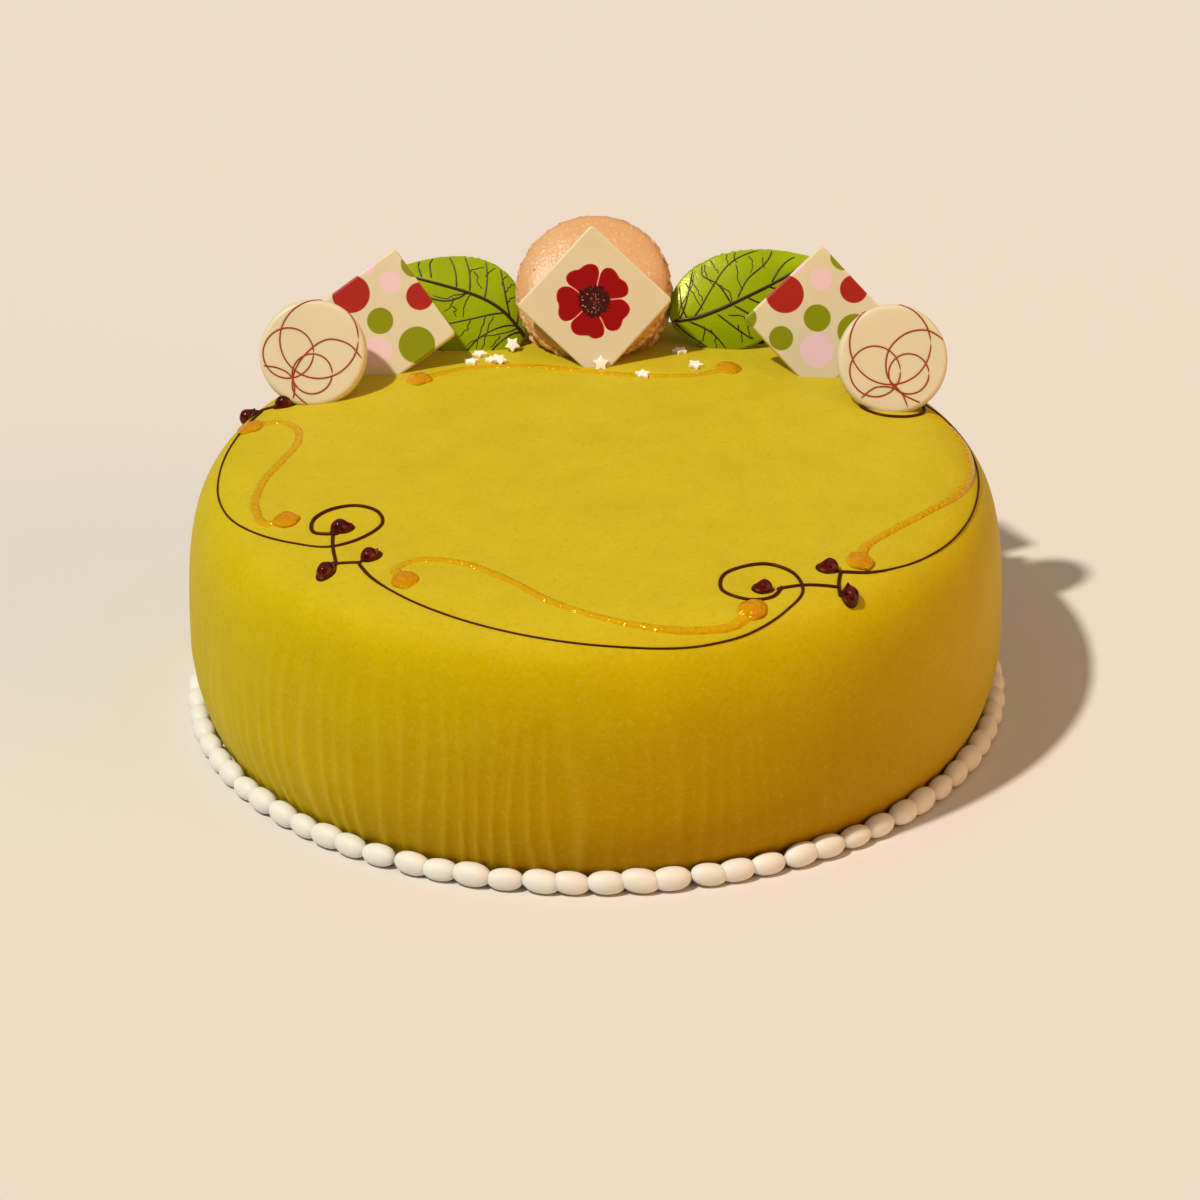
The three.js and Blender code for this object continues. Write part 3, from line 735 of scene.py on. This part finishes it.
def printDots(tree, flat, front, colour, spots):
    soft = 0.1  # half the width of a printed edge
    for x, z, radius, code in spots:
        reach = maths(tree, "DISTANCE", flat, (x, z, 0), kind="VectorMath")
        inside = fade(tree, reach, radius + soft, radius - soft)
        colour = blend(tree, maths(tree, "MULTIPLY", inside, front), colour, code)
    return colour


flowerPrint = {"petals": 5, "middle": (-0.3, 0.4), "reach": 10.2, "turn": 75.4, "heart": 4.3}


def printFlower(tree, flat, front, colour, look):
    moved = maths(tree, "SUBTRACT", flat, (*look["middle"], 0), kind="VectorMath")
    reach = maths(tree, "LENGTH", moved, kind="VectorMath")
    parts = axes(tree, moved)
    angle = maths(tree, "ARCTAN2", parts["Y"], parts["X"])
    wobble = addNode(tree, "TexNoise", {"Vector": moved, "Scale": 0.16, "Detail": 1.0})
    bent = maths(tree, "MULTIPLY_ADD", maths(tree, "SUBTRACT", wobble, 0.5), 0.22, angle)
    # how far a point lies from its petal's middle line, up to 0.5 at either edge
    turned = maths(tree, "MULTIPLY_ADD", bent, look["petals"] / (2 * math.pi),
                   10 - look["turn"] * look["petals"] / 360)
    wide = maths(tree, "ABSOLUTE", maths(tree, "SUBTRACT", maths(tree, "FRACT", turned), 0.5))
    # petal rim: round at its sides with a shallow notch in the middle
    lobe = addNode(tree, "FloatCurve", {"Value": wide})
    curve = lobe.mapping.curves[0]
    for x, y in ((0.05, 0.945), (0.14, 0.985), (0.24, 1.0), (0.33, 0.975), (0.4, 0.92), (0.46, 0.82)):
        curve.points.new(x, y)
    curve.points[0].location = (0, 0.93)
    curve.points[-1].location = (0.5, 0.66)
    lobe.mapping.update()
    spare = maths(tree, "SUBTRACT", maths(tree, "MULTIPLY", lobe, look["reach"]), reach)
    petal = maths(tree, "MULTIPLY", fade(tree, spare, -0.1, 0.1), front)
    gap = maths(tree, "MULTIPLY", maths(tree, "SUBTRACT", 0.5, wide), reach)
    veins = addNode(tree, "TexNoise", {"Vector": moved, "Scale": 1.1, "Detail": 3.0})
    rimmed = blend(tree, fade(tree, spare, 0.1, 0.5), "#b01216", blend(tree, veins, "#850205", "#9c0608"))
    gapped = blend(tree, fade(tree, gap, 0.08, 0.2), "#e58f86", rimmed)
    # the dark heart has a ragged edge and fine pale stamens
    ray = maths(tree, "NORMALIZE", moved, kind="VectorMath")
    ragged = addNode(tree, "TexNoise", {"Vector": ray, "Scale": 5.5, "Detail": 1.0})
    edge = maths(tree, "MULTIPLY_ADD", ragged, 3.2, look["heart"] - 1.6)
    heart = fade(tree, maths(tree, "SUBTRACT", edge, reach), -0.08, 0.08)
    ringed = addNode(tree, "CombineXYZ", {"X": angle, "Y": reach})
    stretched = maths(tree, "MULTIPLY", ringed, (5.2, 0.8, 0), kind="VectorMath")
    stamens = addNode(tree, "TexVoronoi", {"Vector": stretched, "Scale": 1.0, "Randomness": 0.9})
    stamen = maths(tree, "MULTIPLY", fade(tree, stamens, 0.3, 0.16, 0.9), fade(tree, reach, 3.6, 3.0))
    return blend(tree, maths(tree, "MULTIPLY", heart, front), blend(tree, petal, colour, gapped),
                 blend(tree, stamen, "#3f100c", "#d8a894"))


def slabPiece(name, place, material):
    look = slabLook
    thick = look["thickness"]
    mesh = bmesh.new()
    bmesh.ops.create_cube(mesh, size=1)
    size = Matrix.Diagonal((place["side"], thick, place["side"], 1))
    moveMesh(mesh, Matrix.Translation((0, thick / 2, 0)) @ size)
    corners = [edge for edge in mesh.edges if abs(edge.verts[0].co.y - edge.verts[1].co.y) > 1]
    roundEdges(mesh, corners, look["corner"], 6)
    rims = [edge for edge in mesh.edges if abs(edge.verts[0].co.y - edge.verts[1].co.y) < 0.01]
    roundEdges(mesh, rims, look["edge"], 5)
    flats = [face for face in mesh.faces if face.calc_area() > 20]
    bmesh.ops.inset_individual(mesh, faces=flats, thickness=0.2, depth=0)  # so that the flats shade flat
    turnMesh(mesh, 45, "Y")
    moveMesh(mesh, placement(place))
    trimFoot(mesh, place, 2)
    closeUp(mesh)
    finishPiece(name + "_dress", mesh, material, name)


slabPiece("flower_plaque", flowerPlaque,
          slabMaterial("White chocolate with a printed flower", flowerPlaque, printFlower, flowerPrint))
for plaqueName, plaque in dottedPlaques.items():
    dotted = "White chocolate with printed dots, " + plaqueName
    slabPiece(plaqueName, plaque, slabMaterial(dotted, plaque, printDots, dots[plaqueName]))


# white chocolate discs with thin printed rings

discLook = {"thickness": 5, "edge": 1.5, "edgeSteps": 8, "dish": 0.25, "line": 0.23}

# rings: x, z and radius from the disc's middle, then the loose lines that cross them
discRings = {
    "disc_left": [(1.7, 3.7, 10.6), (-6.5, -0.2, 6.8), (0.1, -5.7, 5.4)],
    "disc_right": [(-0.6, 4.1, 10.9), (-5, -3.1, 6.8), (4, -4.1, 5.4)],
}
discTwigs = {
    "disc_left": [[(13.5, -1.5), (10, 2.3), (4.2, 3.7), (-1.5, 0), (-5, -6.4), (-5, -10), (-0.7, -14.1)],
                  [(-13.2, -3.8), (-9.5, -4.2), (-6, -6), (-4.6, -9), (-4.8, -12.5)]],
    "disc_right": [[(14.1, 4.3), (9.7, 7.3), (4.5, 7), (-1, 2.5), (-1.8, -4.2), (2.4, -10.3), (3.3, -13.2)],
                   [(-9.1, -10.2), (-5.3, -7.5), (-0.6, -7.7), (2.5, -9.8), (6.7, -12)]],
}


def printMaterial():
    # coloured cocoa butter: a thin printed line of russet, satin like the chocolate under it
    return plainMaterial("Printed russet cocoa butter", "#8e2c0c", "#a8461a", 2, roughness=0.45, gloss=0.2)


def laidOn(surface, flats, sunk=0.0):  # drops (x, z) points onto the front of a topping
    hits = [surface.ray_cast(Vector((x, -20, z)), Vector((0, 1, 0)))[0] for x, z in flats]
    return [hit + Vector((0, sunk, 0)) for hit in hits if hit]


def discPiece(name, place, slab, print_):
    look = discLook
    radius, edge, thick = place["radius"], look["edge"], look["thickness"]
    turns = [0.5 * math.pi * k / look["edgeSteps"] for k in range(look["edgeSteps"] + 1)]
    rim = [(edge * (1 - math.sin(turn)), edge * (1 - math.cos(turn))) for turn in turns]
    profile = [(0, -thick)] + [(radius - inset, -thick + rise) for inset, rise in rim]
    profile += [(radius - inset, -drop) for drop, inset in rim]
    for share in (0.8, 0.6, 0.4, 0.2, 0):
        profile.append(((radius - edge) * share, -look["dish"] * (1 - share ** 2)))
    mesh = turnedMesh(profile, 96)
    turnMesh(mesh, 90, "X")
    surface = BVHTree.FromBMesh(mesh)
    routes = [[Vector((x, z)) + polar(a, r) for a in range(0, 361, 6)] for x, z, r in discRings[name]]
    routes += [splinePoints(twig, 50) for twig in discTwigs[name]]
    lines = bmesh.new()
    for route in routes:
        places = laidOn(surface, route)
        addMesh(lines, tubeMesh(places, roundEnds(len(places) - 1, look["line"]), 8))
    moveMesh(lines, placement(place))
    moveMesh(mesh, placement(place))
    trimFoot(mesh, place, 2)
    closeUp(mesh)
    finishPiece(name + "_dress", mesh, slab, name)
    finishPiece(name + "_print", lines, print_, name)


plainSlab, russetPrint = slabMaterial("Moulded white chocolate"), printMaterial()
for discName, discPlace in discPlaces.items():
    discPiece(discName, discPlace, plainSlab, russetPrint)


# macaron

macaronLook = {"radius": 21.5, "foot": 3, "dome": 5.4, "filling": 3.5, "fillingRadius": 19.8, "steps": 220,
               "ruffle": 0.6, "at": (0.5, 77.7, 82.5), "lean": 45, "turn": -6, "spin": 0}


def macaronMaterial():
    # macaron shell: almond meringue baked to a thin smooth crust, with a spongy ruffled foot
    material, tree, coords = newMaterial("Baked almond meringue", 0.36, 0.5, ior=1.45,
                                         glow=(0.12, 1.5, (1.0, 0.6, 0.35)))
    inFoot = attribute(tree, "foot")
    fine = addNoise(tree, coords, 0.8)
    crust = blend(tree, addNoise(tree, coords, 9, 3.0), "#ca965f", "#d7aa79")
    flecked = blend(tree, fade(tree, fine, 0.55, 0.75, 0.5), crust, "#efcfa8")
    spots = addNode(tree, "TexVoronoi", {"Vector": coords, "Scale": 1 / (7 * mm)})
    spotted = blend(tree, fade(tree, spots, 0.075, 0.04, 0.8), flecked, "#9c4a20")
    crumb = addNoise(tree, coords, 1.4, 3.0)
    sponge = blend(tree, fade(tree, crumb, 0.38, 0.6), "#b0753a", "#e8c08c")
    height = maths(tree, "MULTIPLY_ADD", fine, 0.45, maths(tree, "MULTIPLY", crumb, inFoot))
    finishMaterial(tree, blend(tree, inFoot, spotted, sponge), height, 0.45, 0.8)
    return material


def shellMesh(seed):
    look = macaronLook
    radius, foot, dome = look["radius"], look["foot"], look["dome"]
    profile = [(0, 0), (radius * 0.5, 0), (radius - 2.5, 0), (radius - 1.5, 0.02)]
    for k in range(1, 13):
        rise = k / 13
        bulge = math.sin(math.pi * rise) ** 0.6
        profile.append((radius - 1.2 + 1.2 * bulge, foot * rise))
    stations = 36
    for k in range(stations + 1):
        turn = 0.5 * math.pi * (k / stations)
        reach = math.cos(turn) ** 0.56
        tuck = 0.9 * max(1 - 6 * k / stations, 0) ** 2
        profile.append(((radius - 0.65) * reach - tuck, foot + dome * math.sin(turn)))
    mesh = turnedMesh(profile, look["steps"])
    layer = mesh.verts.layers.float.new("foot")
    for vert in mesh.verts:
        reach = math.hypot(vert.co.x, vert.co.y)
        near = max(min((reach - radius + 3) / 1.6, 1), 0)
        inFoot = near * max(min((foot + 0.5 - vert.co.z) / 0.7, 1), 0)
        vert[layer] = inFoot
        outward = Vector((vert.co.x, vert.co.y, 0)).normalized()
        place = Vector((vert.co.x, vert.co.y, vert.co.z * 0.8)) + Vector((seed, 0, 0))
        rough = 0.6 * noise.noise(place / 1.5) + 0.5 * noise.noise(place / 0.7)
        rough += 0.4 * noise.noise(place / 3.6)
        vert.co += outward * look["ruffle"] * rough * inFoot
        if vert.co.z > 0.3:
            vert.co.z += 0.25 * noise.noise(place / 1.2) * inFoot
        if vert.co.z > foot:
            vert.co.z += 0.18 * noise.noise(vert.co / 7 + Vector((seed, 9, 0))) * (1 - inFoot)
    return mesh


def macaronPiece(name, mesh, degrees, material):
    turnMesh(mesh, degrees, "X")
    moveMesh(mesh, placement(macaronLook))
    trimFoot(mesh, macaronLook, 2.5)
    closeUp(mesh)
    finishPiece(name + "_dress", mesh, material, name)


def macaronShells():
    crust = macaronMaterial()
    for name, sign in (("macaron_front_shell", 1), ("macaron_back_shell", -1)):
        mesh = shellMesh(3.7 * sign)
        moveMesh(mesh, Matrix.Translation((0, 0, macaronLook["filling"] / 2 + 0.15)))
        macaronPiece(name, mesh, sign * 90, crust)


def ganacheMaterial():
    # ganache: chocolate and cream, set soft and dark with a dull gloss
    return plainMaterial("Dark ganache", "#1c0a06", "#3a1b10", 3, 3.0, grain=(3, 0.4, 0.6), roughness=0.32,
                         gloss=0.5)


def macaronFilling():
    half, width = macaronLook["filling"] / 2, macaronLook["fillingRadius"]
    profile = [(0, -half), (width - 0.6, -half)]
    for k in range(1, 8):
        turn = math.pi * (k / 8 - 0.5)
        profile.append((width - 0.6 + 0.7 * math.cos(turn), half * math.sin(turn)))
    profile += [(width - 0.6, half), (0, half)]
    mesh = turnedMesh(profile, 160)
    for vert in mesh.verts:
        if math.hypot(vert.co.x, vert.co.y) > width - 1:
            vert.co.xy *= 1 + 0.02 * noise.noise(vert.co / 3)
    macaronPiece("macaron_filling", mesh, 90, ganacheMaterial())


macaronShells()
macaronFilling()


# chocolate leaves with printed veins

leafLook = {"thickness": 1.2, "bow": -1.5, "cup": 2.8, "wave": 0.3, "stemTaper": 0.65, "tipTaper": 0.97,
            "rows": 90, "columns": 48}
leaves = {
    "leaf_left": {"at": (-19.6, 70.2, 71), "lean": 32, "turn": 0, "along": 150, "length": 41, "width": 28},
    "leaf_right": {"at": (21.6, 72, 76.1), "lean": 32, "turn": 0, "along": 23, "length": 43.3, "width": 26.8},
}

# veins from root to edge, in hundredths of the leaf's length and of its half width to either side
veinRoutes = {
    "leaf_left": [
        [(1, -66), (9, -36), (19, -34), (35, -29), (47, -24), (65, -16), (84, -8), (97, -2)],
        [(80, -17), (86, -66), (87, -95)], [(74, -24), (80, -77), (80, -97)],
        [(56, -23), (62, -55), (71, -96)], [(47, -27), (53, -60), (62, -97)],
        [(36, -31), (41, -65), (48, -97)], [(15, -36), (25, -63), (37, -97)],
        [(9, -40), (13, -70), (20, -97)], [(48, -22), (60, 17), (68, 27), (80, 60)],
        [(19, -34), (34, 10), (50, 53), (60, 85)], [(8, -37), (27, 50), (30, 88)],
        [(1, -60), (14, 50), (16, 90)]],
    "leaf_right": [
        [(-2, 1), (14, -11), (30, -9), (49, -5), (65, -4), (81, -3), (97, 0)],
        [(4, -6), (18, 61), (26, 97)], [(14, -9), (32, 40), (52, 79), (70, 97)],
        [(10, -8), (10, 40), (14, 90)], [(39, -6), (36, 44), (30, 75), (33, 96)],
        [(44, -1), (55, 30), (67, 49), (77, 97)], [(68, 0), (80, 40), (89, 70)],
        [(2, -16), (7, -70), (15, -97)], [(10, -19), (20, -54), (25, -97)],
        [(28, -16), (36, -59), (43, -91)], [(40, -11), (46, -36), (56, -85)],
        [(50, -7), (60, -45), (70, -80)], [(65, -5), (75, -40), (84, -70)]],
}
# finer veins that fork off between them
fineVeins = {
    "leaf_left": [
        [(53, -64), (53, -72), (49, -80), (47, -86)],
        [(52, -70), (48, -62), (47, -55), (44, -48), (40, -43)], [(43, -68), (42, -84), (40, -95)],
        [(30, -72), (32, -85), (30, -97)], [(26, -63), (26, -82), (24, -97)],
        [(22, -50), (21, -66), (19, -85)], [(48, -23), (55, -4), (60, 11), (68, 18)],
        [(55, -2), (53, 17), (56, 36)], [(53, 16), (50, 17), (49, 25), (46, 30)],
        [(45, -22), (46, -3), (42, 25)], [(38, 20), (36, 36), (39, 62)],
        [(29, -3), (28, 28), (26, 52), (24, 70)], [(25, -12), (24, 17), (22, 46), (20, 70)],
        [(7, -37), (18, 24), (26, 42), (31, 74)], [(15, 17), (15, 37), (16, 58)]],
    "leaf_right": [
        [(6, -4), (10, 41), (19, 61), (27, 92)], [(18, 85), (20, 37), (21, 0)],
        [(22, 86), (23, 50), (24, 16)], [(34, 94), (32, 70), (34, 37)], [(38, 96), (39, 79), (40, 62)],
        [(50, 97), (48, 85), (49, 68)], [(55, 97), (53, 86), (53, 72)],
        [(36, 41), (40, 24), (41, 6), (39, -9)], [(52, 70), (50, 43), (49, 21), (50, 10)],
        [(62, 85), (62, 62), (58, 40)], [(70, 75), (68, 57), (68, 40)], [(18, -37), (15, -68), (10, -95)],
        [(21, -46), (21, -72), (19, -96)], [(34, -26), (42, -38), (43, -54)],
        [(37, -50), (37, -70), (35, -90)], [(43, -58), (42, -76), (44, -90)]],
}
veinLook = {"rib": (0.62, 0.34), "side": (0.27, 0.2), "fine": (0.19, 0.13), "wander": 0.006, "steps": 30,
            "sunk": 0.04}


def leafPoint(leaf, u, v):  # u runs from stem to tip and v from one edge to the other
    look = leafLook
    inset = 0.01 + 0.975 * min(max(u, 0), 1)
    full = (inset / 0.4) ** look["stemTaper"] * ((1 - inset) / 0.6) ** look["tipTaper"]
    bow = look["bow"] * math.sin(math.pi * u)
    cup = look["cup"] * full * (1 - v * v) + look["wave"] * math.sin(9 * u + 2 * v)
    return Vector((leaf["length"] * u, -cup, 0.5 * leaf["width"] * full * v + bow))


def leafMaterial():
    # coloured white chocolate leaf: bright green cocoa butter with a wet-looking gloss
    return plainMaterial("Green cocoa butter leaf", "#869a06", "#9cb002", 12, grain=(0.7, 0.12, 0.45),
                         roughness=0.26, gloss=0.42, tint="#eeff9a", glow=(0.12, 1.2, (0.5, 1.0, 0.1)))


def veinMaterial():
    # dark cocoa print: fine brown veins a hair proud of the leaf
    return plainMaterial("Dark cocoa print", "#2a1404", "#43260a", 1.5, roughness=0.35, gloss=0.45)


def leafSheet(leaf):
    look = leafLook
    mesh = bmesh.new()
    bmesh.ops.create_grid(mesh, x_segments=look["rows"], y_segments=look["columns"], size=1)
    for vert in mesh.verts:
        u, v = (vert.co.x + 1) / 2, vert.co.y
        rough = 1 + 0.03 * noise.noise(Vector((u * 44, v * 3, leaf["length"]))) * abs(v) ** 6
        place = leafPoint(leaf, u, v * rough)
        place.y += 0.25 * noise.noise(Vector((u * 6, v * 2, leaf["length"])))
        vert.co = place
    bmesh.ops.recalc_face_normals(mesh, faces=mesh.faces)
    bmesh.ops.solidify(mesh, geom=mesh.faces[:], thickness=look["thickness"])
    closeUp(mesh, 1e-3)
    return mesh


def leafVeins(name):  # each vein's route with its first and last thickness
    look = veinLook
    (rib, *sides), fines = [[[(u / 100, v / 100) for u, v in route] for route in table[name]]
                            for table in (veinRoutes, fineVeins)]
    routes = [(rib, *look["rib"])]
    routes += [(side, *look["side"]) for side in sides]
    for fine in fines:
        wavy = [Vector(spot) + look["wander"] * Vector((pick.uniform(-1, 1), pick.uniform(-1, 1)))
                for spot in splinePoints(fine, 9)]
        routes.append(([fine[0], *wavy[1:-1], fine[-1]], *look["fine"]))
    return routes


def leafPieces(name, leaf, skin, print_):
    sheet = leafSheet(leaf)
    surface = BVHTree.FromBMesh(sheet)
    veins = bmesh.new()
    for route, thick, thin in leafVeins(name):
        line = splinePoints(route, veinLook["steps"])
        spots = [leafPoint(leaf, u, max(min(v, 0.98), -0.98)).xz for u, v in line]
        places = laidOn(surface, spots, veinLook["sunk"])
        last = len(places) - 1
        if last > 2:
            radii = [end * (thick + (thin - thick) * k / last) for k, end in enumerate(roundEnds(last, 1.0))]
            addMesh(veins, tubeMesh(places, radii, 8))
    for mesh in (sheet, veins):
        moveMesh(mesh, placement({**leaf, "spin": -leaf["along"]}))
    finishPiece(name + "_dress", sheet, skin, name)
    finishPiece(name + "_veins", veins, print_, name)


leafSkin, veinPrint = leafMaterial(), veinMaterial()
for leafName, leafPlan in leaves.items():
    leafPieces(leafName, leafPlan, leafSkin, veinPrint)


# floor, light and camera

stageLook = {"floor": "#d7d2cd", "reach": 4.0}


def floorMaterial():
    material = newMaterial("Pale studio paper", 0.9, 0.1, ior=1.5)[0]
    shader = material.node_tree.nodes["Principled BSDF"]
    shader.inputs["Base Color"].default_value = linearColour(stageLook["floor"])
    return material


def studio():
    mesh = bmesh.new()
    bmesh.ops.create_grid(mesh, x_segments=1, y_segments=1, size=stageLook["reach"])
    data = bpy.data.meshes.new("studio_floor")
    mesh.to_mesh(data)
    mesh.free()
    data.materials.append(floorMaterial())
    floor = addObject("studio_floor", data)


sky = {"colour": "#fff8ee", "horizon": 0.06, "overhead": 0.42, "from": 0.3, "to": 0.85}


def overheadSky():  # a wide soft light overhead that dims towards the horizon
    world = bpy.data.worlds.new("studio")
    world.use_nodes = True
    tree = world.node_tree
    background = tree.nodes["Background"]
    background.inputs["Color"].default_value = linearColour(sky["colour"])
    direction = tree.nodes.new("ShaderNodeTexCoord").outputs["Generated"]
    strength = addNode(tree, "MapRange", {
        "Value": axes(tree, direction)["Z"], "From Min": sky["from"], "From Max": sky["to"],
        "To Min": sky["horizon"], "To Max": sky["overhead"]}, interpolation_type="SMOOTHSTEP")
    tree.links.new(strength.outputs["Result"], background.inputs["Strength"])
    bpy.context.scene.world = world


# lamps: the key is warm and small, up on the left and a little to the front, and its fill is wide and low
lamps = {
    "key": {"strength": 3.1, "elevation": 57.7, "azimuth": 213, "angle": 3, "colour": "#fff7e8"},
    "fill": {"strength": 2.0, "elevation": 8, "azimuth": 335, "angle": 60, "colour": "#ffb04a"},
}


def addLamp(name, plan):
    light = bpy.data.lights.new(name, "SUN")
    light.energy = plan["strength"]
    light.angle = math.radians(plan["angle"])
    light.color = linearColour(plan["colour"])[:3]
    holder = addObject(name, light)
    lift = math.radians(plan["elevation"])
    towards = polar(plan["azimuth"], math.cos(lift)).to_3d() + Vector((0, 0, math.sin(lift)))
    holder.matrix_world = towards.to_track_quat("Z", "Y").to_matrix().to_4x4()


cameraPlan = {"target": (0.0012, 0, 0.027385), "distance": 1.23912, "elevation": 27.0117, "roll": -0.6033,
              "lens": 139.92}


def addCamera():
    plan = cameraPlan
    data = bpy.data.cameras.new("camera")
    data.lens = plan["lens"]
    data.sensor_width = 36
    data.clip_start = 0.05
    camera = addObject("camera", data)
    lift = math.radians(plan["elevation"])
    back = Vector((0, -math.cos(lift), math.sin(lift)))
    roll = Matrix.Rotation(math.radians(plan["roll"]), 4, "Z")
    turn = Matrix.Rotation(math.radians(90) - lift, 4, "X") @ roll
    camera.matrix_world = Matrix.Translation(Vector(plan["target"]) + back * plan["distance"]) @ turn
    bpy.context.scene.camera = camera


studio()
overheadSky()
for lampName, lampPlan in lamps.items():
    addLamp(lampName, lampPlan)
addCamera()
bpy.context.scene.view_settings.view_transform = "Standard"
print("studio set")
